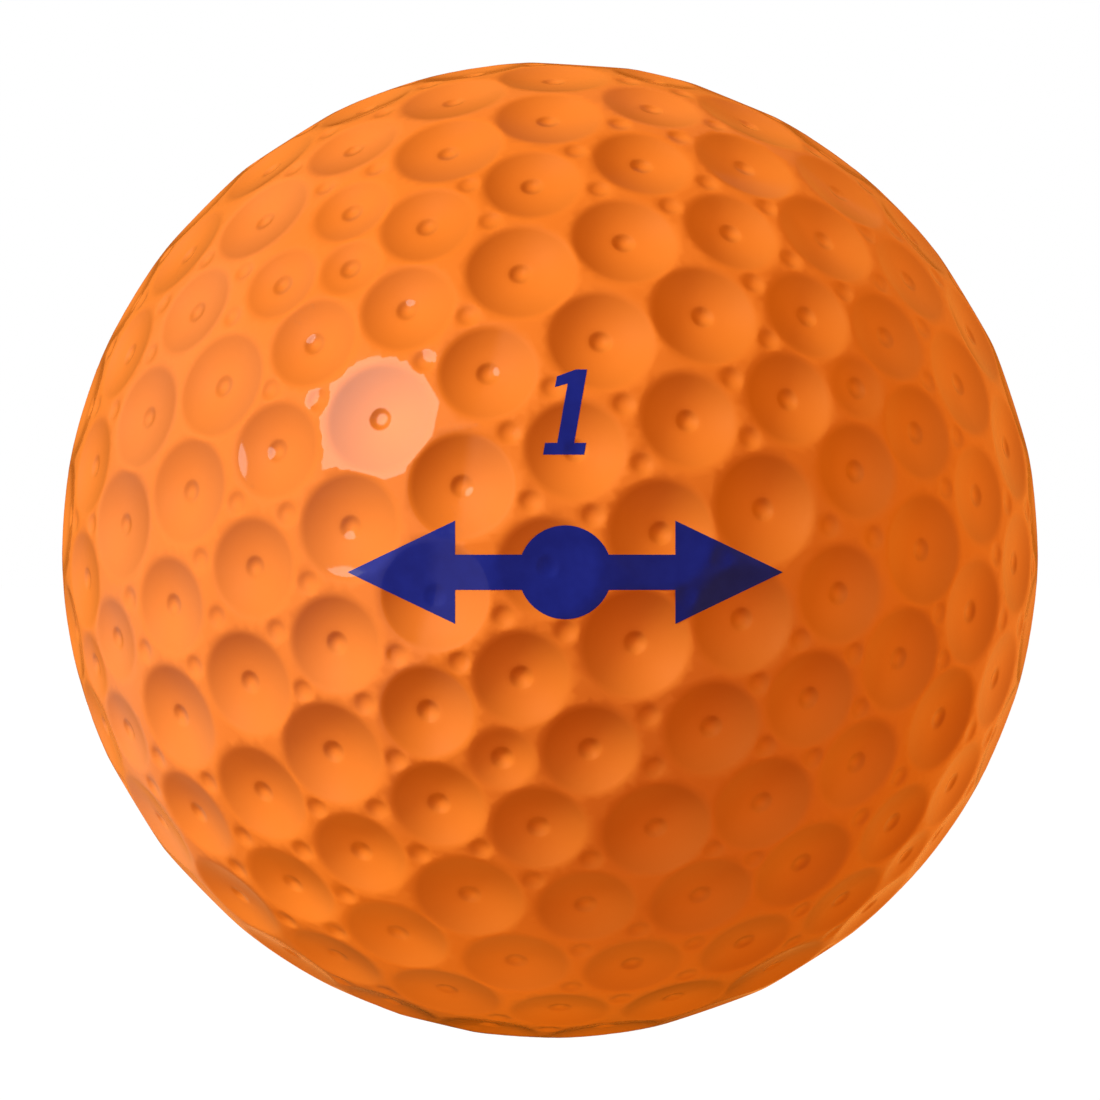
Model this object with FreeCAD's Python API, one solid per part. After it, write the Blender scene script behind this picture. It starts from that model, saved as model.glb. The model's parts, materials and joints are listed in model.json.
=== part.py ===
"""Golf ball: solid core, thin mantle, dimpled cover in two half shells, and pad-printed ink films.

Millimetres. The origin is the ball's centre, +Z is up for the printed number, and -Y is the side that
carries the front print. The dimples follow an icosahedron. They are laid out about a pole, which is
the middle of one of its faces, and the cover's parting line lies square to that pole.
"""
import FreeCAD, Part
import math
import os
from FreeCAD import Placement, Rotation, Vector

# Layers
BALL_RADIUS = 21.335
MANTLE_RADIUS = 19.8
CORE_RADIUS = 18.8

# Where the dimple pattern's pole points, and how far the pattern is turned about it, in degrees
POLE_TURN = 33.4
POLE_LIFT = -17.5
POLE_SPIN = 78.1

# Places of the dimples on each face of the icosahedron, as shares of an arc
EDGE_SHARE = 0.327
INNER_SHARE = 0.272
OUTER_SHARE = 0.629
OUTER_SHARE_AT_POLE = 0.66
SIDE_SHARE = 0.341

# The row of dimples beside the parting line is levelled towards one latitude, in degrees
ROW_REACH = 10.3
ROW_LATITUDE = 6.3
ROW_WAVE = 0.68

# Rim radius of each kind of large dimple
RIM_RADIUS = {
    "corner": 1.45,
    "edge": 2.42,
    "inner": 2.12,
    "belt": 1.84,           # an inner dimple that reaches over the parting line
    "outer": 2.17,
    "side": 2.34,
    "middle": 2.2,
}
BOWL_SLOPE = 7.0            # degrees between the bowl's wall at the rim and the flat across the rim
PIT_RADIUS = 0.5            # small pit at the bottom of every bowl
PIT_DEPTH = 0.1
MICRO_RADIUS = 0.5          # micro dimples in the gaps between the bowls
MICRO_DEPTH = 0.11
LAND_WIDTH = 0.06           # least land left round a micro dimple

# Ink
INK_THICKNESS = 0.02
MARK_CENTRE = Vector(0.65, 0, -0.95)
MARK_LENGTH = 18.6
MARK_BAR = 1.5
MARK_HEAD_LENGTH = 4.6
MARK_HEAD_HEIGHT = 4.4
MARK_DISC_RADIUS = 2.0
NUMBER_FOOT = Vector(0.58, 0, 4.07)
NUMBER_HEIGHT = 3.64
NUMBER_WIDTH = 1.75
NUMBER_STROKE = 0.72
NUMBER_SERIF = 0.5          # thickness of the figure's foot
NUMBER_FLAG_DROP = 0.3      # the flag's tip below the figure's top
NUMBER_FLAG_DEPTH = 0.45
NUMBER_FLAG_ROOT = 0.6      # where the flag's underside meets the stem, below the top
NUMBER_TOP_LEFT = -0.11
NUMBER_SLANT = 10.0         # degrees
ART_DEPTH = 32.0            # depth of the artwork before it is trimmed to the surface

# Cutting tools
LIFT_CLEAR = 0.005          # a bowl's curve runs this far past the ball's surface
TOOL_TOP = 0.4              # height of a cutting tool above the ball's surface
LOBE_START = 0.75           # share of the mantle's radius where a lobe of the cover's edge starts
LOBE_MARGIN = 0.015         # land that a lobe carries round its dimple

BELT_LATITUDE = 5.0         # inner dimples below this latitude are belt dimples
RINGS_AT_POLE = (1, 4)      # rings of icosahedron corners nearest to either pole
EDGE_SLACK = 1.1            # corners closer than this many edge lengths are neighbours
WIDEST_GAP = 0.2            # radians, more than any gap between three rims
SOLVE_STEPS = 40
ORIGIN = Vector()
UP = Vector(0, 0, 1)


def on_sphere(polar, turn):
    """Unit vector at a polar angle from +Z and a turn about it, in degrees."""
    polar = math.radians(polar)
    turn = math.radians(turn)
    return Vector(math.sin(polar) * math.cos(turn), math.sin(polar) * math.sin(turn), math.cos(polar))


def along(start, end, share):
    """Point at a share of the great-circle arc between two unit vectors."""
    arc = start.getAngle(end)
    return (start * math.sin((1 - share) * arc) + end * math.sin(share * arc)) * (1 / math.sin(arc))


def middle(*points):
    """Unit vector to the middle of several unit vectors."""
    total = Vector()
    for point in points:
        total = total + point
    return total.normalize()


def latitude(point):
    """Degrees above the parting line."""
    return math.degrees(math.asin(max(-1.0, min(1.0, point.z))))


def levelled(point):
    """Bring a point of the row beside the parting line closer to the row's own latitude."""
    height = abs(latitude(point))
    if height > ROW_REACH:
        return point
    height = math.copysign(ROW_LATITUDE + ROW_WAVE * (height - ROW_LATITUDE), point.z)
    return on_sphere(90 - height, math.degrees(math.atan2(point.y, point.x)))


def icosahedron():
    """Corners about a face's middle, as (ring, point), with its edges and faces as corner numbers."""
    cap = math.degrees(math.acos(math.sqrt((5 + 2 * math.sqrt(5)) / 15)))
    belt = math.degrees(math.acos(math.sqrt((5 - 2 * math.sqrt(5)) / 15)))
    north = [(1, on_sphere(cap, 120 * i)) for i in range(3)]
    north += [(2, on_sphere(belt, 60 + 120 * i)) for i in range(3)]
    corners = north + [(5 - ring, -point) for ring, point in north]
    reach = EDGE_SLACK * math.atan(2)
    edges = [
        (i, j)
        for i in range(12)
        for j in range(i + 1, 12)
        if corners[i][1].getAngle(corners[j][1]) < reach
    ]
    faces = [(i, j, k) for i, j in edges for k in range(j + 1, 12) if (i, k) in edges and (j, k) in edges]
    return corners, edges, faces


def micro_centre(neighbours):
    """Point as far from the rims of three neighbouring dimples as it can be, and its free radius."""
    points = [point for kind, point in neighbours]
    rims = [math.asin(RIM_RADIUS[kind] / BALL_RADIUS) for kind, point in neighbours]
    volume = points[0].dot(points[1].cross(points[2]))
    duals = [points[i - 2].cross(points[i - 1]) * (1 / volume) for i in range(3)]
    low = 0.0
    high = WIDEST_GAP
    for step in range(SOLVE_STEPS):
        gap = (low + high) / 2
        point = Vector()
        for rim, dual in zip(rims, duals):
            point = point + dual * math.cos(rim + gap)
        if point.Length > 1:
            low = gap
        else:
            high = gap
    return point.normalize(), gap * BALL_RADIUS


def dimple_pattern():
    """Large dimples as (kind, point) and micro dimples as (point, free radius), with the pole at +Z."""
    corners, edges, faces = icosahedron()
    ring = [number for number, point in corners]
    corner = [point for number, point in corners]
    face_middle = {face: middle(*[corner[i] for i in face]) for face in faces}

    def edge_dimple(i, j):
        return "edge", levelled(along(corner[i], corner[j], EDGE_SHARE))

    def inner_dimple(i, face):
        point = levelled(along(corner[i], face_middle[face], INNER_SHARE))
        return "belt" if abs(latitude(point)) < BELT_LATITUDE else "inner", point

    def outer_dimple(i, face):
        at_pole = len({ring[corner_number] for corner_number in face}) == 1
        share = OUTER_SHARE_AT_POLE if at_pole else OUTER_SHARE
        return "outer", levelled(along(corner[i], face_middle[face], share))

    def side_dimple(i, j, face):
        return "side", levelled(along(middle(corner[i], corner[j]), face_middle[face], SIDE_SHARE))

    large = [("corner", levelled(point)) for point in corner]
    gaps = []
    for i, j in edges:
        sides = [face for face in faces if i in face and j in face]
        rings = sorted((ring[i], ring[j]))
        for near, far in ((i, j), (j, i)):
            large.append(edge_dimple(near, far))
            if rings in ([1, 1], [4, 4]):
                gaps.append([edge_dimple(near, far)] + [side_dimple(i, j, face) for face in sides])
            elif ring[near] in RINGS_AT_POLE:
                gaps.append([edge_dimple(near, far)] + [inner_dimple(near, face) for face in sides])
            if rings in ([1, 3], [2, 4]):
                for face in sides:
                    gaps.append([edge_dimple(near, far), outer_dimple(near, face), side_dimple(i, j, face)])
    for face in faces:
        centre = ("middle", levelled(face_middle[face]))
        large.append(centre)
        for i in face:
            large.append(inner_dimple(i, face))
            large.append(outer_dimple(i, face))
            for j in face:
                if j == i:
                    continue
                if j > i:
                    large.append(side_dimple(i, j, face))
                pair = sorted((i, j))
                gaps.append([outer_dimple(i, face), side_dimple(*pair, face), centre])
                gaps.append([edge_dimple(i, j), inner_dimple(i, face), outer_dimple(i, face)])
    return large, [micro_centre(gap) for gap in gaps]


def arc_edge(start, end, curve_centre_z, curve_radius, side):
    """Arc from start to end in the XZ plane, about a centre on the Z axis."""
    x = (start.x + end.x) / 2
    halfway = Vector(x, 0, curve_centre_z + side * math.sqrt(curve_radius ** 2 - x ** 2))
    return Part.Arc(start, halfway, end).toShape()


def bowl_tool(direction, surface, rim, depth, pit_radius=0.0, pit_depth=0.0):
    """Solid that cuts a round bowl, and a pit at its bottom, into a ball of radius surface."""
    curve = (rim ** 2 + depth ** 2) / (2 * depth)
    centre_z = math.sqrt(surface ** 2 - rim ** 2) - depth + curve
    edge_angle = math.asin(rim / surface) + math.asin(rim / curve)
    wide = rim + LIFT_CLEAR / math.tan(edge_angle)

    def on_bowl(x):
        return Vector(x, 0, centre_z - math.sqrt(curve ** 2 - x ** 2))

    bottom = on_bowl(pit_radius)
    shoulder = on_bowl(wide)
    outline = [arc_edge(bottom, shoulder, centre_z, curve, -1)]
    if pit_radius:
        pit_bottom = Vector(0, 0, bottom.z - pit_depth)
        pit_curve = (pit_radius ** 2 + pit_depth ** 2) / (2 * pit_depth)
        outline.insert(0, arc_edge(pit_bottom, bottom, pit_bottom.z + pit_curve, pit_curve, -1))
        bottom = pit_bottom
    top = surface + TOOL_TOP
    outline.append(Part.LineSegment(shoulder, Vector(wide, 0, top)).toShape())
    outline.append(Part.LineSegment(Vector(wide, 0, top), Vector(0, 0, top)).toShape())
    outline.append(Part.LineSegment(Vector(0, 0, top), bottom).toShape())
    tool = Part.Face(Part.Wire(outline)).revolve(ORIGIN, UP, 360)
    tool.Placement = Placement(ORIGIN, Rotation(UP, direction))
    return tool


def large_tool(kind, direction, scale=1.0):
    """Cutter of a large dimple with its pit."""
    rim = RIM_RADIUS[kind]
    depth = rim * math.tan(math.radians(BOWL_SLOPE / 2))
    return bowl_tool(
        direction, BALL_RADIUS * scale, rim * scale, depth * scale, PIT_RADIUS * scale, PIT_DEPTH * scale
    )


def micro_tool(direction, room, scale=1.0):
    """Cutter of a micro dimple, which shrinks where its room is tight."""
    rim = min(MICRO_RADIUS, room - LAND_WIDTH)
    depth = MICRO_DEPTH * rim / MICRO_RADIUS
    return bowl_tool(direction, BALL_RADIUS * scale, rim * scale, depth * scale)


def reaches_over(kind, point):
    """Whether a dimple and the land round it reach over the parting plane."""
    half_angle = math.asin(RIM_RADIUS[kind] / BALL_RADIUS) + LAND_WIDTH / BALL_RADIUS
    return abs(math.radians(latitude(point))) < half_angle


def lobe(kind, direction):
    """Round plug that holds a dimple and runs right through the cover."""
    start = MANTLE_RADIUS * LOBE_START
    length = BALL_RADIUS - start + TOOL_TOP
    plug = Part.makeCylinder(RIM_RADIUS[kind] + LOBE_MARGIN, length, UP * start, UP)
    plug.Placement = Placement(ORIGIN, Rotation(UP, direction))
    return plug


def pole_side(large):
    """Space of the cover half at the pattern's pole. Its edge steps round each dimple in its way."""
    crossing = [(kind, point) for kind, point in large if reaches_over(kind, point)]
    added = [lobe(kind, point) for kind, point in crossing if point.z > 0]
    taken = [lobe(kind, point) for kind, point in crossing if point.z < 0]
    size = 2 * BALL_RADIUS
    above = Part.makeCylinder(size, size)
    below = Part.makeCylinder(size, size, ORIGIN, -UP)
    return above.cut(taken).fuse([plug.common(below) for plug in added]).removeSplitter()


def cover_halves(large, micro):
    """The two dimpled half shells, which meet along the stepped edge."""
    shell = Part.makeSphere(BALL_RADIUS).cut(Part.makeSphere(MANTLE_RADIUS))
    region = pole_side(large)
    overlap = MICRO_RADIUS / BALL_RADIUS
    halves = []
    for side, half in ((1, shell.common(region)), (-1, shell.cut(region))):
        half = half.cut([large_tool(kind, point) for kind, point in large if point.z * side > 0])
        half = half.cut([micro_tool(point, room) for point, room in micro if point.z * side > -overlap])
        halves.append(half)
    return halves


def pattern_turn():
    """Rotation from the pattern's frame, with its pole at +Z, to the ball's own frame."""
    spin = Rotation(UP, POLE_SPIN)
    tilt = Rotation(Vector(1, 0, 0), 90 - POLE_LIFT)
    turn = Rotation(UP, POLE_TURN)
    return turn.multiply(tilt).multiply(spin)


def prism(points, depth):
    """Solid of an outline in the XZ plane, drawn out towards -Y."""
    return Part.Face(Part.makePolygon(points + [points[0]])).extrude(Vector(0, -depth, 0))


def number_prism(depth):
    """The figure 1, slanted, with a foot and a flag."""
    half_foot = NUMBER_WIDTH / 2
    half_stem = NUMBER_STROKE / 2
    outline = [
        (-half_foot, 0),
        (half_foot, 0),
        (half_foot, NUMBER_SERIF),
        (half_stem, NUMBER_SERIF),
        (half_stem, NUMBER_HEIGHT),
        (NUMBER_TOP_LEFT, NUMBER_HEIGHT),
        (-half_foot, NUMBER_HEIGHT - NUMBER_FLAG_DROP),
        (-half_foot, NUMBER_HEIGHT - NUMBER_FLAG_DROP - NUMBER_FLAG_DEPTH),
        (-half_stem, NUMBER_HEIGHT - NUMBER_FLAG_ROOT),
        (-half_stem, NUMBER_SERIF),
        (-half_foot, NUMBER_SERIF),
    ]
    slant = math.tan(math.radians(NUMBER_SLANT))
    return prism([NUMBER_FOOT + Vector(x + slant * z, 0, z) for x, z in outline], depth)


def mark_prism(depth):
    """Alignment arrow: a bar with a head at each end and a disc at its middle."""
    half = MARK_LENGTH / 2
    neck = half - MARK_HEAD_LENGTH
    bar = MARK_BAR / 2
    head = MARK_HEAD_HEIGHT / 2
    right = [(neck, -bar), (neck, -head), (half, 0), (neck, head), (neck, bar)]
    left = [(-x, -z) for x, z in right]
    arrow = prism([MARK_CENTRE + Vector(x, 0, z) for x, z in right + left], depth)
    disc = Part.makeCylinder(MARK_DISC_RADIUS, depth, MARK_CENTRE, Vector(0, -1, 0))
    return arrow.fuse(disc).removeSplitter()


def print_film(artwork, large, micro):
    """Film of ink that follows the dimpled surface under the artwork's outline."""
    box = artwork.BoundBox
    reach = math.hypot(box.XLength, box.ZLength) / 2 + 2 * RIM_RADIUS["edge"]
    x = box.Center.x
    z = box.Center.z
    centre = Vector(x, -math.sqrt(BALL_RADIUS ** 2 - x ** 2 - z ** 2), z)

    def near(point):
        return (point * BALL_RADIUS - centre).Length < reach

    def dimpled(solid, scale):
        tools = [large_tool(kind, point, scale) for kind, point in large if near(point)]
        tools += [micro_tool(point, room, scale) for point, room in micro if near(point)]
        return solid.cut(tools)

    scale = 1 + INK_THICKNESS / BALL_RADIUS
    outside = dimpled(artwork.common(Part.makeSphere(BALL_RADIUS * scale)), scale)
    return outside.cut(dimpled(Part.makeSphere(BALL_RADIUS), 1.0))


def turned(pattern_rotation, large, micro):
    """The pattern's points after a rotation."""
    large = [(kind, pattern_rotation.multVec(point)) for kind, point in large]
    micro = [(pattern_rotation.multVec(point), room) for point, room in micro]
    return large, micro


def main():
    os.makedirs("parts", exist_ok=True)
    large, micro = dimple_pattern()
    to_ball = pattern_turn()
    parts = {
        "core": Part.makeSphere(CORE_RADIUS),
        "mantle": Part.makeSphere(MANTLE_RADIUS).cut(Part.makeSphere(CORE_RADIUS)),
    }
    for name, half in zip(("cover_pole_half", "cover_far_half"), cover_halves(large, micro)):
        half.Placement = Placement(ORIGIN, to_ball)
        parts[name] = half

    half_turn = Rotation(UP, 180)
    for name, rotation in (("front", Rotation()), ("back", half_turn)):
        seen_large, seen_micro = turned(rotation.inverted().multiply(to_ball), large, micro)
        for artwork, art in (("number", number_prism), ("mark", mark_prism)):
            film = print_film(art(ART_DEPTH), seen_large, seen_micro)
            film.Placement = Placement(ORIGIN, rotation)
            parts["print_" + artwork + "_" + name] = film

    for name, solid in parts.items():
        if len(solid.Solids) != 1 or not solid.isValid():
            raise SystemExit(name + " is not one valid solid")
        solid.Solids[0].exportStep("parts/" + name + ".step")
        print(name, round(solid.Volume, 3))


main()
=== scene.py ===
"""Golf ball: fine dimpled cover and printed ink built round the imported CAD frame, in metres."""
import json
import math
import bpy
import numpy as np
from mathutils import Matrix, Vector
from mathutils.geometry import delaunay_2d_cdt


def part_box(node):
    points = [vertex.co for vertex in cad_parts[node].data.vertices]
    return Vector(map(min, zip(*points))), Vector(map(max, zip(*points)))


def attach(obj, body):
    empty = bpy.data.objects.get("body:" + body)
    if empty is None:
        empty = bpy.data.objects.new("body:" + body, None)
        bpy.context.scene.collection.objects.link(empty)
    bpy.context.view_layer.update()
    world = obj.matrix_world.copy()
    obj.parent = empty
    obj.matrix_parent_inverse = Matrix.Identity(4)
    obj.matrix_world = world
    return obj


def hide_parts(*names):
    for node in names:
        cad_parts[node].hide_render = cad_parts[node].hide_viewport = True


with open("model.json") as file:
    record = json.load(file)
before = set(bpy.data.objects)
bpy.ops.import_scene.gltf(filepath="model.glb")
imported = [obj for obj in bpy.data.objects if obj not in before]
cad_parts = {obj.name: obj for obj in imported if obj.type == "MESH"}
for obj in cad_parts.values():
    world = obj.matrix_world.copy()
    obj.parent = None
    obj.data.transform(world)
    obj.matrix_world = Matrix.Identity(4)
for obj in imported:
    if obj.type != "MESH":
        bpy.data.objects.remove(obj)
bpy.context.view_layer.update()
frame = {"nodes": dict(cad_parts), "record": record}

MM = 0.001

# Ball, from the frame
BALL_RADIUS = -frame["record"]["mounts"][0]["pos_m"][2] / MM
MANTLE_RADIUS = (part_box("mantle")[1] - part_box("mantle")[0]).z / 2 / MM

# Where the dimple pattern's pole points, and how far the pattern is turned about it, in degrees
POLE_TURN = 33.4
POLE_LIFT = -17.5
POLE_SPIN = 78.1

# Places of the dimples on each face of the icosahedron, as shares of an arc
EDGE_SHARE = 0.327
INNER_SHARE = 0.272
OUTER_SHARE = 0.629
OUTER_SHARE_AT_POLE = 0.66
SIDE_SHARE = 0.341
ROW_REACH = 10.3            # degrees: dimples nearer the parting line are in the row beside it
ROW_LATITUDE = 6.3          # degrees
ROW_WAVE = 0.68             # share of its wave that the levelled row keeps
BELT_LATITUDE = 5.0         # inner dimples below this latitude are belt dimples
RINGS_AT_POLE = (1, 4)      # rings of icosahedron corners nearest to either pole
EDGE_SLACK = 1.1            # corners closer than this many edge lengths are neighbours
WIDEST_GAP = 0.2            # radians, more than any gap between three rims
SOLVE_STEPS = 40

# Millimetres
RIM_RADIUS = {
    "corner": 1.45,
    "edge": 2.42,
    "inner": 2.12,
    "belt": 1.84,
    "outer": 2.17,
    "side": 2.34,
    "middle": 2.2,
}
BOWL_SLOPE = 7.0            # degrees between the bowl's wall at the rim and the flat across the rim
RIM_SOFTNESS = 0.045        # how far the moulded rim is rounded off
PIT_RADIUS = 0.5
PIT_DEPTH = 0.06
PIT_SOFTNESS = 0.025
MICRO_RADIUS = 0.5
MICRO_DEPTH = 0.05
LAND_WIDTH = 0.06           # least land left between a micro dimple and its neighbours' rims

# Mesh of the skin, in millimetres unless said otherwise
PIT_RINGS = (0.22, 0.44, 0.64, 0.8, 0.92, 1.03, 1.16)       # shares of the pit's radius
MICRO_RINGS = (0.25, 0.5, 0.7, 0.85, 0.97, 1.08)            # shares of the micro dimple's radius
RIM_RINGS = (-0.14, -0.07, -0.015, 0.02)                    # outwards from the rim
WALL_RING_GAP = 0.24
RING_SPACING = 0.12         # between neighbouring points of the smallest ring
RING_SPREAD = 0.075         # how much the spacing grows with the ring's radius
RING_LEAST = 5              # points on a ring
LARGE_CLEAR = 0.12          # land points keep this far from the rims of large dimples
MICRO_CLEAR = 0.1           # and this far from the outermost rings of micro dimples
LAND_SPACING = 0.34
OWNED_PAST_RIM = 0.03       # a large dimple brings this much land to its cover half
OWNED_MICRO_SHARE = 1.1     # of the micro dimple's radius
INNER_POINTS = 9000         # spread over the whole sphere under the cover
INNER_MARGIN = 0.06         # radians left clear beside the parting line
MERGE_DISTANCE = 1e-9       # flat map's points closer than this are one point

# Artwork, in millimetres across and up from the middle of the ball's front
NUMBER_FOOT = (0.58, 4.07)
NUMBER_HEIGHT = 3.64
NUMBER_WIDTH = 1.75
NUMBER_STROKE = 0.72
NUMBER_SERIF = 0.5          # thickness of the figure's foot
NUMBER_FLAG_DROP = 0.3      # the flag's tip below the figure's top
NUMBER_FLAG_DEPTH = 0.45
NUMBER_FLAG_ROOT = 0.6      # where the flag's underside meets the stem, below the top
NUMBER_TOP_LEFT = -0.11
NUMBER_SLANT = 10.0         # degrees
MARK_CENTRE = (0.65, -0.95)
MARK_LENGTH = 18.6
MARK_BAR = 1.5
MARK_HEAD_LENGTH = 4.6
MARK_HEAD_HEIGHT = 4.4
MARK_DISC_RADIUS = 2.0
DISC_STEPS = 24
INK_THICKNESS = 0.015
INK_DEPTH = 0.004           # how far the ink is keyed into the cover
ART_SPACING = 0.1           # between points along an outline
ART_MARGIN = 0.035          # skin points keep this far inside an outline
DRAPE_STEPS = 4             # passes that settle the flat artwork on the skin

# Colours, linear
COVER_DEEP = (0.81, 0.232, 0.022)
COVER_BRIGHT = (0.86, 0.256, 0.029)
DIMPLE_RELIEF = 3.2         # how much the pigment's shading leans further into the dimples
INK_DEEP = (0.005, 0.018, 0.26)
INK_BRIGHT = (0.007, 0.023, 0.31)
CORE_COLOURS = ((0.10, 0.30, 0.34), (0.14, 0.36, 0.40))
MANTLE_COLOURS = ((0.80, 0.80, 0.76), (0.86, 0.86, 0.82))

# Grain in the materials, as (noise scale per metre, detail)
COVER_CLOUDS = (160, 3)
GLOSS_SMEARS = (420, 4)
ORANGE_PEEL = (900, 2)
INK_PATCHES = (1400, 3)
INNER_MOTTLE = (300, 4)
GLOSS_POLISHED = (0.02, 0.02, 0.02)     # roughness of the gloss coat at its smoothest
GLOSS_SMEARED = (0.07, 0.07, 0.07)
PEEL_HEIGHT = 0.000004      # metres
PEEL_STRENGTH = 0.5

# Studio: sizes in metres, and light as a colour whose white is 1
WHITE = (1.0, 1.0, 1.0)
FLOOR_SIZE = 20
FLOOR_COLOUR = (0.03, 0.03, 0.03)       # dark, because the floor's look comes from its own glow
LIGHT_DISTANCE = 0.9
SOFTBOXES = [               # name, aim from the ball, size, watts, whether the gloss coat mirrors it
    ("key", (-0.65, -0.60, 0.47), 0.46, 1.85, True),
    ("side_shaper", (-0.75, -0.42, 0.52), 0.2, 4.5, False),
    ("front_shaper", (-0.35, -0.82, 0.40), 0.2, 2.3, False),
]
SOFTBOX_COLOUR = (1.0, 0.99, 0.95)

# Soft light on the pigment: warm, and stronger from the right and from the table
FRONT_FILL = (0.27, 0.010, 0.01)
SIDE_FILL = (1.38, 0.76, 0.10)
SIDE_AIM = (0.80, 0.40, -0.05)
SIDE_EDGE = (-0.3, 1.0)
TABLE_FILL = (1.22, 0.72, 0.12)
TABLE_AIM = (-0.35, 0.0, -0.92)
TABLE_EDGE = (0.3, 1.0)

# What the gloss coat mirrors: a pale warm sheet on the left, a warm glow behind, and shade straight behind
SHEET_AIM = (-0.916, 0.390, 0.086)      # the sheet is on this side, and its edge is square to it
SHEET_EDGE = (-0.03, 0.03)
SHEET_END = (-0.9, -0.4)    # where it ends towards the ball's back
SHEET_FOOT = (-0.8, -0.2)   # where it ends towards the table
SHEET_TOP = (0.35, 0.95)    # where it fades upwards
SHEET_GLOW = (0.74, 0.56, 0.40)
FRONT_GLOW = (0.02, 0.005, 0.0)
BACK_GLOW = (0.80, 0.25, 0.04)
BACK_EDGE = (0.0, 0.7)
SHADE_GLOW = (0.42, 0.11, 0.01)
SHADE_EDGE = (0.94, 0.985)

# Camera
CAMERA_RADII = 39.8         # distance from the ball's centre
BALL_SHARE = 0.8873         # ball's radius as a share of the picture's half width
SENSOR_WIDTH = 36           # millimetres
NEAREST = 0.01              # metres
FARTHEST = 50               # metres


# Dimple pattern -------------------------------------------------------------------------------------

def on_sphere(polar, turn):
    """Unit vector at a polar angle from +Z and a turn about it, in degrees."""
    polar = math.radians(polar)
    turn = math.radians(turn)
    return Vector((math.sin(polar) * math.cos(turn), math.sin(polar) * math.sin(turn), math.cos(polar)))


def middle(*points):
    """Unit vector to the middle of several unit vectors."""
    return sum(points, Vector()).normalized()


def latitude(point):
    """Degrees above the parting line."""
    return math.degrees(math.asin(max(-1.0, min(1.0, point.z))))


def levelled(point):
    """Bring a point of the row beside the parting line closer to the row's own latitude."""
    height = abs(latitude(point))
    if height > ROW_REACH:
        return point
    height = math.copysign(ROW_LATITUDE + ROW_WAVE * (height - ROW_LATITUDE), point.z)
    return on_sphere(90 - height, math.degrees(math.atan2(point.y, point.x)))


def icosahedron():
    """Corners about a face's middle, as (ring, point), with its edges and faces as corner numbers."""
    cap = math.degrees(math.acos(math.sqrt((5 + 2 * math.sqrt(5)) / 15)))
    belt = math.degrees(math.acos(math.sqrt((5 - 2 * math.sqrt(5)) / 15)))
    north = [(1, on_sphere(cap, 120 * i)) for i in range(3)]
    north += [(2, on_sphere(belt, 60 + 120 * i)) for i in range(3)]
    corners = north + [(5 - ring, -point) for ring, point in north]
    reach = EDGE_SLACK * math.atan(2)
    edges = [
        (i, j)
        for i in range(12)
        for j in range(i + 1, 12)
        if corners[i][1].angle(corners[j][1]) < reach
    ]
    faces = [(i, j, k) for i, j in edges for k in range(j + 1, 12) if (i, k) in edges and (j, k) in edges]
    return corners, edges, faces


def micro_centre(neighbours):
    """Point as far from the rims of three neighbouring dimples as it can be, and its free radius."""
    points = [point for kind, point in neighbours]
    rims = [math.asin(RIM_RADIUS[kind] / BALL_RADIUS) for kind, point in neighbours]
    volume = points[0].dot(points[1].cross(points[2]))
    duals = [points[i - 2].cross(points[i - 1]) / volume for i in range(3)]
    low = 0.0
    high = WIDEST_GAP
    for step in range(SOLVE_STEPS):
        gap = (low + high) / 2
        point = sum((dual * math.cos(rim + gap) for rim, dual in zip(rims, duals)), Vector())
        if point.length > 1:
            low = gap
        else:
            high = gap
    return point.normalized(), gap * BALL_RADIUS


def dimple_pattern():
    """Large dimples as (kind, point) and micro dimples as (point, free radius), with the pole at +Z."""
    corners, edges, faces = icosahedron()
    ring_of = [number for number, point in corners]
    corner = [point for number, point in corners]
    face_middle = {face: middle(*[corner[i] for i in face]) for face in faces}

    def edge_dimple(i, j):
        return "edge", levelled(corner[i].slerp(corner[j], EDGE_SHARE))

    def inner_dimple(i, face):
        point = levelled(corner[i].slerp(face_middle[face], INNER_SHARE))
        return "belt" if abs(latitude(point)) < BELT_LATITUDE else "inner", point

    def outer_dimple(i, face):
        at_pole = len({ring_of[i] for i in face}) == 1
        share = OUTER_SHARE_AT_POLE if at_pole else OUTER_SHARE
        return "outer", levelled(corner[i].slerp(face_middle[face], share))

    def side_dimple(i, j, face):
        return "side", levelled(middle(corner[i], corner[j]).slerp(face_middle[face], SIDE_SHARE))

    large = [("corner", levelled(point)) for point in corner]
    gaps = []
    for i, j in edges:
        sides = [face for face in faces if i in face and j in face]
        rings = sorted((ring_of[i], ring_of[j]))
        for near, far in ((i, j), (j, i)):
            large.append(edge_dimple(near, far))
            if rings in ([1, 1], [4, 4]):
                gaps.append([edge_dimple(near, far)] + [side_dimple(i, j, face) for face in sides])
            elif ring_of[near] in RINGS_AT_POLE:
                gaps.append([edge_dimple(near, far)] + [inner_dimple(near, face) for face in sides])
            if rings in ([1, 3], [2, 4]):
                for face in sides:
                    gaps.append([edge_dimple(near, far), outer_dimple(near, face), side_dimple(i, j, face)])
    for face in faces:
        centre = ("middle", levelled(face_middle[face]))
        large.append(centre)
        for i in face:
            large.append(inner_dimple(i, face))
            large.append(outer_dimple(i, face))
            for j in face:
                if j == i:
                    continue
                if j > i:
                    large.append(side_dimple(i, j, face))
                pair = sorted((i, j))
                gaps.append([outer_dimple(i, face), side_dimple(*pair, face), centre])
                gaps.append([edge_dimple(i, j), inner_dimple(i, face), outer_dimple(i, face)])
    return large, [micro_centre(gap) for gap in gaps]


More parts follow.
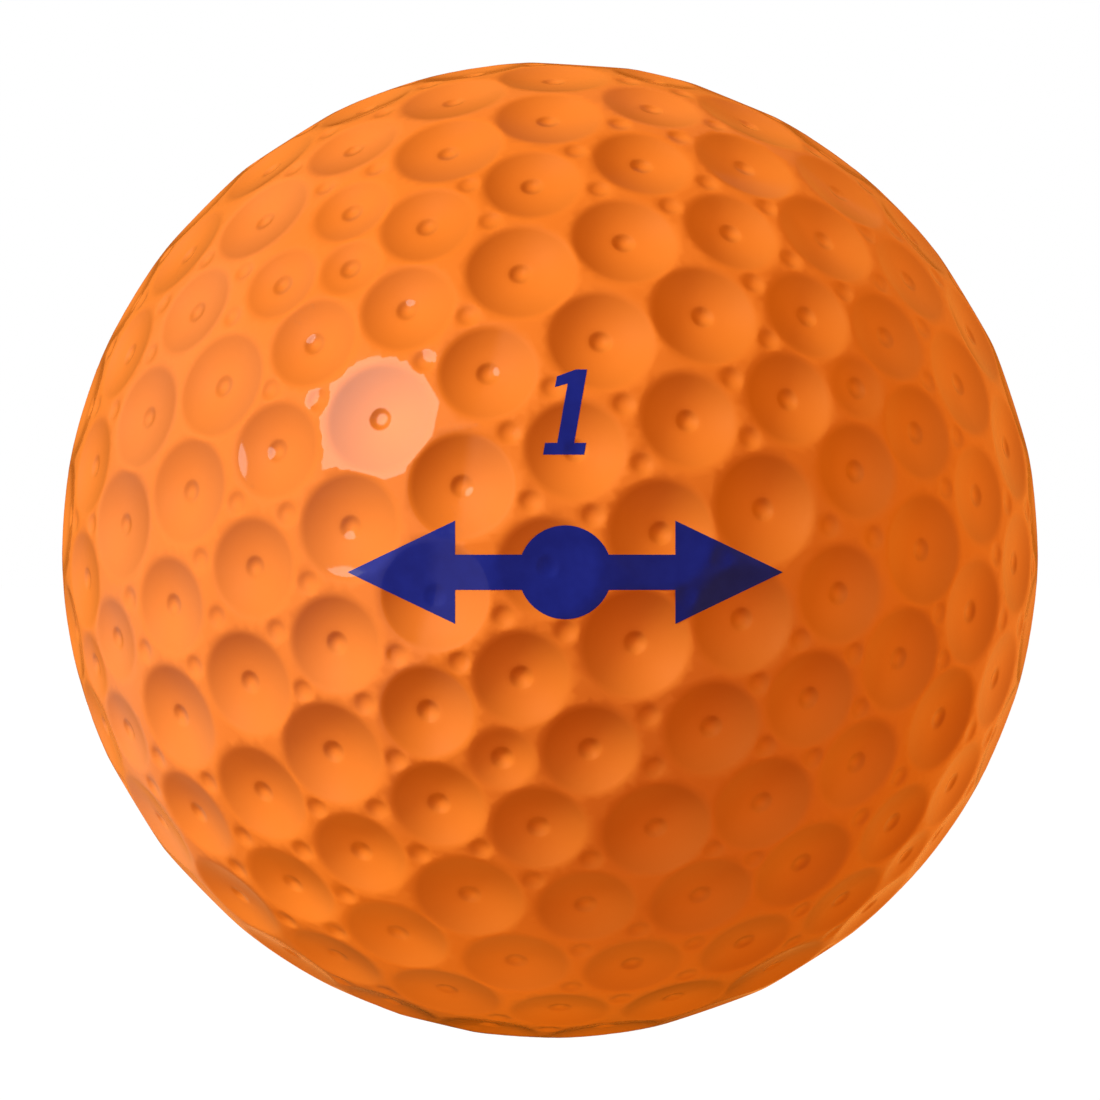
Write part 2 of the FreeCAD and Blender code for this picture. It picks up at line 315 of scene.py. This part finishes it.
def pattern_turn():
    """Rotation from the pattern's frame, with its pole at +Z, to the ball's own frame."""
    spin = Matrix.Rotation(math.radians(POLE_SPIN), 3, "Z")
    tilt = Matrix.Rotation(math.radians(90 - POLE_LIFT), 3, "X")
    turn = Matrix.Rotation(math.radians(POLE_TURN), 3, "Z")
    return turn @ tilt @ spin


# Dimpled surface --------------------------------------------------------------------------------------

def soft_positive(value, softness):
    """The value where it is positive, else nothing, rounded off over the softness; and its slope."""
    inside = np.clip((value + softness) / (2 * softness), 0, 1)
    return np.where(value > softness, value, inside ** 2 * softness), inside


def hollow(distance, rim, depth, softness):
    """Depth of a round hollow at a distance from its middle, and the depth's slope."""
    raw = depth * (1 - (distance / rim) ** 2)
    value, share = soft_positive(raw, softness)
    return value, share * (-2 * depth * distance / rim ** 2)


class Surface:
    """The dimpled skin: its depth below the plain sphere and its normal, anywhere on the ball."""

    def __init__(self, large, micro):
        self.hollows = []
        for kind, point in large:
            rim = RIM_RADIUS[kind]
            depth = rim * math.tan(math.radians(BOWL_SLOPE / 2)) + rim ** 2 / (2 * BALL_RADIUS)
            self.hollows.append((point, rim, depth, RIM_SOFTNESS))
            self.hollows.append((point, PIT_RADIUS, PIT_DEPTH, PIT_SOFTNESS))
        for point, space in micro:
            rim = min(MICRO_RADIUS, space - LAND_WIDTH)
            self.hollows.append((point, rim, MICRO_DEPTH * rim / MICRO_RADIUS, PIT_SOFTNESS))

    def at(self, directions):
        """Radius and unit normal of the skin along each of many unit directions."""
        depth = np.zeros(len(directions))
        lean = np.zeros_like(directions)
        for point, rim, full, softness in self.hollows:
            centre = np.array(point)
            cosine = directions @ centre
            reach = math.cos(rim * math.sqrt(1 + softness / full) / BALL_RADIUS)
            near = np.nonzero(cosine > reach)[0]
            c = np.minimum(cosine[near], 1.0)
            angle = np.arccos(c)
            value, slope = hollow(angle * BALL_RADIUS, rim, full, softness)
            depth[near] += value
            away = c[:, None] * directions[near] - centre
            away /= np.maximum(np.linalg.norm(away, axis=1), 1e-9)[:, None]
            lean[near] += slope[:, None] * away
        normal = directions + lean
        normal /= np.linalg.norm(normal, axis=1)[:, None]
        return BALL_RADIUS - depth, normal


def ring(centre, distance, phase):
    """Unit directions evenly spaced on a circle round a centre."""
    spacing = RING_SPACING + RING_SPREAD * distance
    count = max(RING_LEAST, round(2 * math.pi * distance / spacing))
    side = centre.orthogonal().normalized()
    other = centre.cross(side)
    turns = (np.arange(count) + phase) * (2 * math.pi / count)
    angle = distance / BALL_RADIUS
    around = np.cos(turns)[:, None] * np.array(side) + np.sin(turns)[:, None] * np.array(other)
    return math.cos(angle) * np.array(centre) + math.sin(angle) * around


def ring_distances(rim):
    """Distances of the mesh's rings: close at the pit and the rim, wider on the bowl's wall."""
    pit = [PIT_RADIUS * share for share in PIT_RINGS]
    wall_start = pit[-1]
    wall_end = rim - WALL_RING_GAP
    steps = math.ceil((wall_end - wall_start) / WALL_RING_GAP)
    wall = [wall_start + (wall_end - wall_start) * i / steps for i in range(1, steps + 1)]
    return pit + wall + [rim + step for step in RIM_RINGS]


def skin_points(large, micro):
    """Unit directions of all the skin's mesh points."""
    found = []
    claimed = []
    for kind, point in large:
        found.append(np.array([point]))
        for i, distance in enumerate(ring_distances(RIM_RADIUS[kind])):
            found.append(ring(point, distance, 0.5 * (i % 2)))
        claimed.append((point, RIM_RADIUS[kind] + LARGE_CLEAR))
    for point, space in micro:
        rim = min(MICRO_RADIUS, space - LAND_WIDTH)
        found.append(np.array([point]))
        for i, share in enumerate(MICRO_RINGS):
            found.append(ring(point, rim * share, 0.5 * (i % 2)))
        claimed.append((point, rim * MICRO_RINGS[-1] + MICRO_CLEAR))
    land = even_points(round(4 * math.pi * (BALL_RADIUS / LAND_SPACING) ** 2))
    free = np.ones(len(land), bool)
    for point, reach in claimed:
        free &= land @ np.array(point) < math.cos(reach / BALL_RADIUS)
    found.append(land[free])
    points = np.vstack(found)
    return points[np.argsort(-points[:, 2], kind="stable")]


def even_points(count):
    """Evenly spread unit directions, on a spiral from pole to pole."""
    step = np.arange(count) + 0.5
    height = 1 - 2 * step / count
    turn = math.pi * (1 + math.sqrt(5)) * step
    level = np.sqrt(1 - height ** 2)
    return np.stack([level * np.cos(turn), level * np.sin(turn), height], axis=1)


def flat_map(directions):
    """Map of the sphere onto the plane from its lowest point. It keeps circles round."""
    return directions[:, :2] / (1 + directions[:, 2:3])


def border_loop(faces):
    """Point numbers along the single border of a set of faces, in the faces' own sense."""
    sides = np.vstack([faces[:, [0, 1]], faces[:, [1, 2]], faces[:, [2, 0]]])
    there = set(map(tuple, sides.tolist()))
    following = {a: b for a, b in there if (b, a) not in there}
    loop = [next(iter(following))]
    while len(loop) < len(following):
        loop.append(following[loop[-1]])
    if len(set(loop)) != len(loop) or following[loop[-1]] != loop[0]:
        raise SystemExit(f"a border of {len(following)} sides isn't a single loop")
    return loop


def triangulate(directions):
    """Triangles between directions on the whole sphere. The last direction is the lowest point."""
    flat = flat_map(directions[:-1])
    result = delaunay_2d_cdt([Vector(p) for p in flat.tolist()], [], [], 0, MERGE_DISTANCE, False)
    faces = np.array(result[2])
    loop = np.array(border_loop(faces))
    fan = np.stack([np.roll(loop, -1), loop, np.full(len(loop), len(flat))], axis=1)
    return np.vstack([faces, fan])


def inside_outline(points, outline, margin):
    """Which points lie inside an outline, and further than a margin from it."""
    inside = np.zeros(len(points), bool)
    clear = np.full(len(points), 1e9)
    for start, end in zip(outline, np.roll(outline, -1, axis=0)):
        step = end - start
        crosses = (points[:, 1] < start[1]) != (points[:, 1] < end[1])
        if step[1]:
            x = start[0] + (points[:, 1] - start[1]) * step[0] / step[1]
            inside ^= crosses & (points[:, 0] < x)
        share = np.clip((points - start) @ step / (step @ step), 0, 1)
        clear = np.minimum(clear, np.linalg.norm(points - start - share[:, None] * step, axis=1))
    return inside & (clear > margin)


def filled(edge, within):
    """Triangles that fill a flat outline, with corners on it and at the points within it.

    The points are first rounded as the triangulation rounds them, so both see the same outline.
    """
    flat = np.vstack([edge, within]).astype(np.float32).astype(float)
    sides = [(i, (i + 1) % len(edge)) for i in range(len(edge))]
    result = delaunay_2d_cdt([Vector(p) for p in flat.tolist()], sides, [], 0, MERGE_DISTANCE, False)
    faces = np.array(result[2])
    kept = (faces >= len(edge)).any(axis=1)
    kept[~kept] = inside_outline(flat[faces[~kept]].mean(axis=1), flat[:len(edge)], 0)
    return faces[kept]


def split_corners(points, faces, chosen):
    """The points used by some of the faces, and those faces renumbered."""
    faces = faces[chosen]
    used, flat = np.unique(faces, return_inverse=True)
    return used, flat.reshape(-1, 3)


def make_mesh(name, points, faces, normals=None):
    """Mesh object from points in millimetres, with the true surface's own normals where given."""
    mesh = bpy.data.meshes.new(name)
    mesh.from_pydata((points * MM).tolist(), [], faces.tolist())
    mesh.update()
    mesh.polygons.foreach_set("use_smooth", [True] * len(mesh.polygons))
    if normals is not None:
        mesh.normals_split_custom_set_from_vertices(normals.tolist())
    piece = bpy.data.objects.new(name, mesh)
    bpy.context.scene.collection.objects.link(piece)
    return piece


def owners(directions, large, micro):
    """+1 or -1 for each direction: the cover half that it belongs to."""
    side = np.sign(directions[:, 2])
    for kind, point in large:
        own = directions @ np.array(point) > math.cos((RIM_RADIUS[kind] + OWNED_PAST_RIM) / BALL_RADIUS)
        side[own] = math.copysign(1, point.z)
    for point, space in micro:
        reach = OWNED_MICRO_SHARE * min(MICRO_RADIUS, space)
        own = directions @ np.array(point) > math.cos(reach / BALL_RADIUS)
        side[own] = math.copysign(1, point.z)
    return side


def cover_half(name, side, directions, radii, normals, faces, faces_side):
    """One half of the cover as a closed cup: dimpled skin, smooth inside, and the wall between them."""
    used, skin = split_corners(directions, faces, faces_side == side)
    outward = directions[used]
    loop = border_loop(skin)
    rim = outward[loop]
    spread = even_points(INNER_POINTS)
    inside = spread[spread[:, 2] * side > math.sin(INNER_MARGIN)]
    inner = np.vstack([rim, inside])
    lining = filled(flat_map(rim * (1, 1, side)), flat_map(inside * (1, 1, side)))
    start = len(used)
    a, b, c = (inner[lining[:, i]] for i in range(3))
    facing_out = np.einsum("ij,ij->i", np.cross(b - a, c - a), a) > 0
    lining[facing_out] = lining[facing_out][:, ::-1]
    count = len(loop)
    near = np.array(loop)
    far = np.roll(near, -1)
    low = start + np.arange(count)
    wall = np.vstack([
        np.stack([far, near, low], axis=1),
        np.stack([far, low, np.roll(low, -1)], axis=1),
    ])
    points = np.vstack([outward * radii[used][:, None], inner * MANTLE_RADIUS])
    leaning = np.vstack([normals[used], -inner])
    return make_mesh(name, points, np.vstack([skin, lining + start, wall]), leaning)


# Printed ink --------------------------------------------------------------------------------------------

def number_outline():
    """The figure 1, slanted, with a foot and a flag."""
    half_foot = NUMBER_WIDTH / 2
    half_stem = NUMBER_STROKE / 2
    corners = [
        (-half_foot, 0),
        (half_foot, 0),
        (half_foot, NUMBER_SERIF),
        (half_stem, NUMBER_SERIF),
        (half_stem, NUMBER_HEIGHT),
        (NUMBER_TOP_LEFT, NUMBER_HEIGHT),
        (-half_foot, NUMBER_HEIGHT - NUMBER_FLAG_DROP),
        (-half_foot, NUMBER_HEIGHT - NUMBER_FLAG_DROP - NUMBER_FLAG_DEPTH),
        (-half_stem, NUMBER_HEIGHT - NUMBER_FLAG_ROOT),
        (-half_stem, NUMBER_SERIF),
        (-half_foot, NUMBER_SERIF),
    ]
    slant = math.tan(math.radians(NUMBER_SLANT))
    return [(NUMBER_FOOT[0] + x + slant * z, NUMBER_FOOT[1] + z) for x, z in corners]


def mark_outline():
    """Alignment arrow: a bar with a head at each end and a disc at its middle."""
    half = MARK_LENGTH / 2
    neck = half - MARK_HEAD_LENGTH
    bar = MARK_BAR / 2
    head = MARK_HEAD_HEIGHT / 2
    start = math.asin(bar / MARK_DISC_RADIUS)
    turns = [start + (math.pi - 2 * start) * i / DISC_STEPS for i in range(DISC_STEPS + 1)]
    top = [(MARK_DISC_RADIUS * math.cos(t), MARK_DISC_RADIUS * math.sin(t)) for t in turns]
    right = [(neck, -bar), (neck, -head), (half, 0), (neck, head), (neck, bar)]
    upper = right + top
    lower = [(-x, -z) for x, z in upper]
    return [(MARK_CENTRE[0] + x, MARK_CENTRE[1] + z) for x, z in upper + lower]


def finely(outline):
    """The outline with points added so that none are further apart than the art spacing."""
    points = []
    for (x0, z0), (x1, z1) in zip(outline, outline[1:] + outline[:1]):
        steps = max(1, math.ceil(math.hypot(x1 - x0, z1 - z0) / ART_SPACING))
        points += [(x0 + (x1 - x0) * i / steps, z0 + (z1 - z0) * i / steps) for i in range(steps)]
    return np.array(points)


def print_film(name, outline, turn, surface, directions, radii):
    """Film of ink on the dimpled skin. The artwork is drawn flat, facing -Y, before the turn."""
    edge = finely(outline)
    drawn = (directions * radii[:, None]) @ turn
    drawn = drawn[drawn[:, 1] < 0][:, [0, 2]]
    drawn = drawn[((drawn > edge.min(axis=0)) & (drawn < edge.max(axis=0))).all(axis=1)]
    drawn = drawn[inside_outline(drawn, edge, ART_MARGIN)]
    flat = np.vstack([edge, drawn])
    top = filled(edge, drawn)
    radius = np.full(len(flat), BALL_RADIUS)
    for step in range(DRAPE_STEPS):
        depth = -np.sqrt(radius ** 2 - (flat ** 2).sum(axis=1))
        local = np.stack([flat[:, 0], depth, flat[:, 1]], axis=1)
        aim = local @ turn.T
        aim /= np.linalg.norm(aim, axis=1)[:, None]
        radius, normal = surface.at(aim)
    skin = aim * radius[:, None]
    a, b, c = (skin[top[:, i]] for i in range(3))
    facing_in = np.einsum("ij,ij->i", np.cross(b - a, c - a), a) < 0
    top[facing_in] = top[facing_in][:, ::-1]
    count = len(flat)
    border = np.array(border_loop(top))
    ahead = np.roll(border, -1)
    wall = np.vstack([
        np.stack([ahead, border, border + count], axis=1),
        np.stack([ahead, border + count, ahead + count], axis=1),
    ])
    points = np.vstack([skin + normal * INK_THICKNESS, skin - normal * INK_DEPTH])
    faces = np.vstack([top, top[:, ::-1] + count, wall])
    return make_mesh(name, points, faces, np.vstack([normal, -normal]))


# Materials ------------------------------------------------------------------------------------------------

def material(name):
    """New node material, with its nodes, its links and its main shader."""
    made = bpy.data.materials.new(name)
    made.use_nodes = True
    nodes = made.node_tree.nodes
    return made, nodes, made.node_tree.links, nodes["Principled BSDF"]


def noise(nodes, links, grain, place):
    """Noise in the object's own metres, from its scale and detail."""
    scale, detail = grain
    texture = nodes.new("ShaderNodeTexNoise")
    texture.inputs["Scale"].default_value = scale
    texture.inputs["Detail"].default_value = detail
    links.new(place.outputs["Object"], texture.inputs["Vector"])
    return texture


def ramp(nodes, links, source, stops):
    """Colour ramp over a value, from (position, colour) stops."""
    band = nodes.new("ShaderNodeValToRGB")
    elements = band.color_ramp.elements
    for element, (position, colour) in zip(elements, stops):
        element.position = position
        element.color = (*colour, 1)
    links.new(source, band.inputs["Fac"])
    return band


def bump(nodes, links, height, distance, strength):
    """Bump of a height, in metres."""
    node = nodes.new("ShaderNodeBump")
    node.inputs["Distance"].default_value = distance
    node.inputs["Strength"].default_value = strength
    links.new(height, node.inputs["Height"])
    return node


def deeper_dimples(nodes, links, place):
    """Normals that lean further away from the plain sphere's than the surface's own do."""
    own = nodes.new("ShaderNodeNewGeometry")
    round_out = nodes.new("ShaderNodeVectorMath")
    round_out.operation = "NORMALIZE"
    links.new(place.outputs["Object"], round_out.inputs[0])
    lean = nodes.new("ShaderNodeVectorMath")
    lean.operation = "SUBTRACT"
    links.new(own.outputs["Normal"], lean.inputs[0])
    links.new(round_out.outputs["Vector"], lean.inputs[1])
    further = nodes.new("ShaderNodeVectorMath")
    further.operation = "MULTIPLY_ADD"
    links.new(lean.outputs["Vector"], further.inputs[0])
    further.inputs[1].default_value = (DIMPLE_RELIEF,) * 3
    links.new(own.outputs["Normal"], further.inputs[2])
    unit = nodes.new("ShaderNodeVectorMath")
    unit.operation = "NORMALIZE"
    links.new(further.outputs["Vector"], unit.inputs[0])
    return unit


def cover_material():
    """Orange moulded plastic under a clear gloss coat with a faint orange peel."""
    made, nodes, links, shader = material("orange_cover")
    place = nodes.new("ShaderNodeTexCoord")
    cloud = noise(nodes, links, COVER_CLOUDS, place)
    tint = ramp(nodes, links, cloud.outputs["Fac"], [(0.3, COVER_DEEP), (0.7, COVER_BRIGHT)])
    links.new(tint.outputs["Color"], shader.inputs["Base Color"])
    shader.inputs["Roughness"].default_value = 0.6
    shader.inputs["Specular IOR Level"].default_value = 0.35
    relief = deeper_dimples(nodes, links, place)
    links.new(relief.outputs["Vector"], shader.inputs["Normal"])
    shader.inputs["Coat Weight"].default_value = 1.0
    shader.inputs["Coat IOR"].default_value = 1.5
    smear = noise(nodes, links, GLOSS_SMEARS, place)
    polish = ramp(nodes, links, smear.outputs["Fac"], [(0.35, GLOSS_POLISHED), (0.75, GLOSS_SMEARED)])
    links.new(polish.outputs["Color"], shader.inputs["Coat Roughness"])
    peel = noise(nodes, links, ORANGE_PEEL, place)
    coat_bump = bump(nodes, links, peel.outputs["Fac"], PEEL_HEIGHT, PEEL_STRENGTH)
    links.new(coat_bump.outputs["Normal"], shader.inputs["Coat Normal"])
    return made


def ink_material():
    """Navy pad-printing ink, a little uneven, under a thin gloss coat."""
    made, nodes, links, shader = material("navy_ink")
    place = nodes.new("ShaderNodeTexCoord")
    patch = noise(nodes, links, INK_PATCHES, place)
    tint = ramp(nodes, links, patch.outputs["Fac"], [(0.3, INK_DEEP), (0.7, INK_BRIGHT)])
    links.new(tint.outputs["Color"], shader.inputs["Base Color"])
    shader.inputs["Roughness"].default_value = 0.45
    shader.inputs["Specular IOR Level"].default_value = 0.3
    shader.inputs["Coat Weight"].default_value = 0.35
    shader.inputs["Coat Roughness"].default_value = 0.06
    return made


def inner_material(name, deep, bright, roughness):
    """Moulded inner layer with a faint mottle."""
    made, nodes, links, shader = material(name)
    place = nodes.new("ShaderNodeTexCoord")
    mottle = noise(nodes, links, INNER_MOTTLE, place)
    tint = ramp(nodes, links, mottle.outputs["Fac"], [(0.3, deep), (0.7, bright)])
    links.new(tint.outputs["Color"], shader.inputs["Base Color"])
    shader.inputs["Roughness"].default_value = roughness
    return made


def blend(nodes, links, factor, low, high):
    """Colour that goes from low to high with a factor. Both may be fixed colours or other nodes'."""
    mix = nodes.new("ShaderNodeMix")
    mix.data_type = "RGBA"
    links.new(factor, mix.inputs["Factor"])
    ends = [socket for socket in mix.inputs if socket.enabled and socket.type == "RGBA"]
    for socket, colour in zip(ends, (low, high)):
        if isinstance(colour, tuple):
            socket.default_value = (*colour, 1)
        else:
            links.new(colour, socket)
    return [socket for socket in mix.outputs if socket.enabled][0]


def toward(nodes, links, direction, aim, edge):
    """A soft step from 0 to 1 as a direction turns towards an aim."""
    share = nodes.new("ShaderNodeVectorMath")
    share.operation = "DOT_PRODUCT"
    links.new(direction, share.inputs[0])
    share.inputs[1].default_value = Vector(aim).normalized()
    step = nodes.new("ShaderNodeMapRange")
    step.interpolation_type = "SMOOTHSTEP"
    step.inputs["From Min"].default_value = edge[0]
    step.inputs["From Max"].default_value = edge[1]
    links.new(share.outputs["Value"], step.inputs["Value"])
    return step.outputs["Result"]


def surroundings(nodes, links, direction):
    """Light from a direction: plain white to the camera, the room to the gloss coat, soft fill otherwise."""
    behind = toward(nodes, links, direction, (0, 1, 0), BACK_EDGE)
    straight_behind = toward(nodes, links, direction, (0, 1, 0), SHADE_EDGE)
    in_front = toward(nodes, links, direction, (0, -1, 0), SHEET_END)
    above_table = toward(nodes, links, direction, (0, 0, 1), SHEET_FOOT)
    near_top = toward(nodes, links, direction, (0, 0, 1), SHEET_TOP)
    on_table = toward(nodes, links, direction, TABLE_AIM, TABLE_EDGE)
    on_sheet = toward(nodes, links, direction, SHEET_AIM, SHEET_EDGE)
    on_side = toward(nodes, links, direction, SIDE_AIM, SIDE_EDGE)
    mirrored = blend(nodes, links, behind, FRONT_GLOW, BACK_GLOW)
    mirrored = blend(nodes, links, straight_behind, mirrored, SHADE_GLOW)
    sheet = blend(nodes, links, in_front, mirrored, SHEET_GLOW)
    sheet = blend(nodes, links, above_table, mirrored, sheet)
    sheet = blend(nodes, links, near_top, sheet, mirrored)
    mirrored = blend(nodes, links, on_sheet, mirrored, sheet)
    fill = blend(nodes, links, on_side, FRONT_FILL, SIDE_FILL)
    fill = blend(nodes, links, on_table, fill, TABLE_FILL)
    ray = nodes.new("ShaderNodeLightPath")
    unseen = blend(nodes, links, ray.outputs["Is Glossy Ray"], fill, mirrored)
    return blend(nodes, links, ray.outputs["Is Camera Ray"], unseen, WHITE)


def floor_material():
    """Table that glows: plain white to the camera, and otherwise as bright as the surroundings below it, so
    that its painted glow lights the ball from below.
    """
    made, nodes, links, shader = material("studio_floor")
    shader.inputs["Base Color"].default_value = (*FLOOR_COLOUR, 1)
    shader.inputs["Roughness"].default_value = 0.9
    shader.inputs["Specular IOR Level"].default_value = 0.0
    place = nodes.new("ShaderNodeNewGeometry")
    direction = nodes.new("ShaderNodeVectorMath")
    direction.operation = "NORMALIZE"
    links.new(place.outputs["Position"], direction.inputs[0])
    glow = surroundings(nodes, links, direction.outputs["Vector"])
    links.new(glow, shader.inputs["Emission Color"])
    shader.inputs["Emission Strength"].default_value = 1.0
    return made


# Studio -----------------------------------------------------------------------------------------------------

def look_at(thing, target):
    """Turn a light or a camera to face a target."""
    thing.rotation_euler = (Vector(target) - thing.location).to_track_quat("-Z", "Y").to_euler()


def softbox(name, aim, size, power):
    """Round soft light that faces the ball."""
    data = bpy.data.lights.new(name, "AREA")
    data.shape = "DISK"
    data.size = size
    data.energy = power
    data.color = SOFTBOX_COLOUR
    light = bpy.data.objects.new(name, data)
    bpy.context.scene.collection.objects.link(light)
    light.location = Vector(aim).normalized() * LIGHT_DISTANCE
    look_at(light, (0, 0, 0))
    return light


def room():
    """The surroundings as the scene's world."""
    world = bpy.data.worlds.new("room")
    bpy.context.scene.world = world
    world.use_nodes = True
    nodes = world.node_tree.nodes
    links = world.node_tree.links
    place = nodes.new("ShaderNodeTexCoord")
    light = surroundings(nodes, links, place.outputs["Generated"])
    links.new(light, nodes["Background"].inputs["Color"])


def studio():
    """Floor, lights, surroundings and the camera."""
    bpy.ops.mesh.primitive_plane_add(size=FLOOR_SIZE, location=(0, 0, -BALL_RADIUS * MM))
    floor = bpy.context.object
    floor.name = "floor"
    floor.data.materials.append(floor_material())

    for name, aim, size, power, mirrored in SOFTBOXES:
        softbox(name, aim, size, power).visible_glossy = mirrored

    room()

    data = bpy.data.cameras.new("camera")
    data.sensor_width = SENSOR_WIDTH
    distance = CAMERA_RADII * BALL_RADIUS * MM
    data.lens = data.sensor_width / 2 / math.tan(math.asin(1 / CAMERA_RADII)) * BALL_SHARE
    data.clip_start = NEAREST
    data.clip_end = FARTHEST
    camera = bpy.data.objects.new("camera", data)
    bpy.context.scene.collection.objects.link(camera)
    camera.location = (0, -distance, 0)
    look_at(camera, (0, 0, 0))
    bpy.context.scene.camera = camera
    bpy.context.scene.view_settings.view_transform = "Standard"


# The ball -------------------------------------------------------------------------------------------------

def build_ball():
    """Cover halves and prints, each in place of its CAD node."""
    large, micro = dimple_pattern()
    surface = Surface(large, micro)
    directions = skin_points(large, micro)
    faces = triangulate(directions)
    radii, normals = surface.at(directions)
    side = owners(directions, large, micro)
    faces_side = np.where(side[faces].sum(axis=1) > 0, 1, -1)
    turn = np.array(pattern_turn())

    cover = cover_material()
    ink = ink_material()
    made = []
    for name, which in (("cover_pole_half", 1), ("cover_far_half", -1)):
        half = cover_half(name + "_skin", which, directions, radii, normals, faces, faces_side)
        half.data.transform(Matrix(turn.tolist()).to_4x4())
        made.append((half, name, cover, "cover"))

    half_turn = np.diag([-1.0, -1.0, 1.0])
    for place, facing in (("front", np.eye(3)), ("back", half_turn)):
        for art, outline in (("number", number_outline()), ("mark", mark_outline())):
            name = "print_" + art + "_" + place
            film = print_film(name + "_film", outline, turn.T @ facing, surface, directions, radii)
            film.data.transform(Matrix(turn.tolist()).to_4x4())
            made.append((film, name, ink, "ink"))

    for piece, node, paint, slot in made:
        piece.data.materials.append(paint)
        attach(piece, "root")
        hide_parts(node)

    inner = {
        "core": inner_material("core_rubber", *CORE_COLOURS, 0.7),
        "mantle": inner_material("mantle_plastic", *MANTLE_COLOURS, 0.4),
    }
    for node, paint in inner.items():
        slots = frame["nodes"][node].data.materials
        slots.clear()
        slots.append(paint)


build_ball()
studio()
